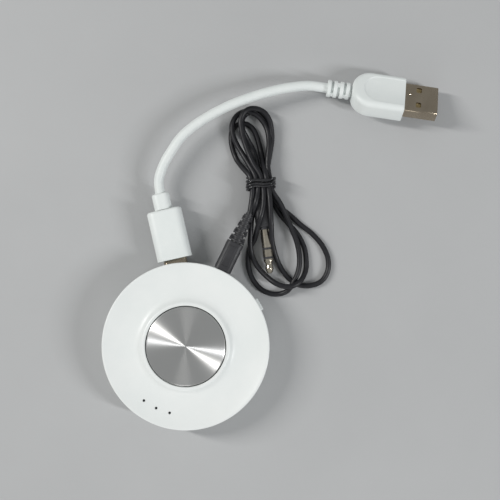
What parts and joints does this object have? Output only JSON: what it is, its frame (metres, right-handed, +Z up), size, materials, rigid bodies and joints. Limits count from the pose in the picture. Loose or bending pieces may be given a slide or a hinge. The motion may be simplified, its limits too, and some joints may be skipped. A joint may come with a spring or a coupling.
{
  "type": "bluetooth audio receiver",
  "caption": "Round bluetooth audio receiver with a metal push button, a white USB power lead and a tied black 3.5 mm audio lead.",
  "frame": {"origin": "centre of the round case's underside, on the surface it stands on", "axes": "+Z up; -Y the front, towards the three indicator holes; +Y the rear, out of the audio socket"},
  "size_m": [0.081, 0.1496, 0.0128],
  "materials": {
    "white_shell": "white moulded plastic, semi-gloss",
    "foot_rubber": "grey foot rubber",
    "label_film": "blank film",
    "steel": "plain steel",
    "board": "solder mask",
    "chip": "moulded black",
    "pouch": "foil pouch",
    "led": "resin",
    "clear": "clear acrylic",
    "spun_metal": "spun face",
    "white_lead": "white flexible moulding",
    "nickel": "nickel plate",
    "gold": "gold flash",
    "black_moulding": "black moulding",
    "black_cord": "black flexible jacket"
  },
  "bodies": {
    "receiver": {"top_shell": "white_shell", "bottom_shell": "white_shell", "foot_ring": "foot_rubber", "label_plate": "label_film", "case_screw_1": "steel", "case_screw_2": "steel", "case_screw_3": "steel", "case_screw_4": "steel", "circuit_board": "board", "radio_shield_can": "steel", "audio_chip": "chip", "charge_chip": "chip", "crystal": "steel", "coupling_capacitor_1": "steel", "coupling_capacitor_2": "steel", "battery_cell": "pouch", "indicator_led_1": "led", "indicator_led_2": "led", "indicator_led_3": "led", "light_pipe_1": "clear", "light_pipe_2": "clear", "light_pipe_3": "clear", "usb_socket_shell": "steel", "usb_socket_tongue": "chip", "audio_socket": "chip", "slide_switch_body": "steel", "tact_switch_body": "chip"},
    "button": {"button_disc": "spun_metal", "button_carrier": "white_shell", "tact_switch_plunger": "chip", "button_clip_1": "white_shell", "button_clip_2": "white_shell", "button_clip_3": "white_shell"},
    "power_slider": {"slide_switch_knob": "white_shell"},
    "usb_lead": {"usb_c_grip": "white_lead", "usb_c_shell": "nickel", "usb_c_neck": "white_lead", "usb_cord": "white_lead", "usb_a_relief": "white_lead", "usb_a_grip": "white_lead", "usb_a_shell": "nickel", "usb_a_tongue": "white_lead"},
    "audio_lead": {"audio_plug_pin": "gold", "audio_plug_grip": "black_moulding", "audio_plug_relief": "black_moulding", "audio_cord": "black_cord", "audio_hank": "black_cord", "cable_tie": "black_moulding", "far_plug_pin": "gold", "far_plug_grip": "black_moulding", "far_plug_relief": "black_moulding"}
  },
  "joints": [
    {"name": "button_press", "type": "slide", "parent": "receiver", "child": "button", "axis": [0, 0, -1], "range_m": [0, 0.0005], "stiffness_N_per_m": 600},
    {"name": "power_slide", "type": "slide", "parent": "receiver", "child": "power_slider", "axis": [0.8192, -0.5736, 0], "range_m": [0, 0.002]},
    {"name": "usb_unplug", "type": "slide", "parent": "receiver", "child": "usb_lead", "axis": [-0.6225, 0.7826, 0], "range_m": [0, 0.009]},
    {"name": "audio_unplug", "type": "slide", "parent": "receiver", "child": "audio_lead", "axis": [0, 1, 0], "range_m": [0, 0.0168]}
  ]
}
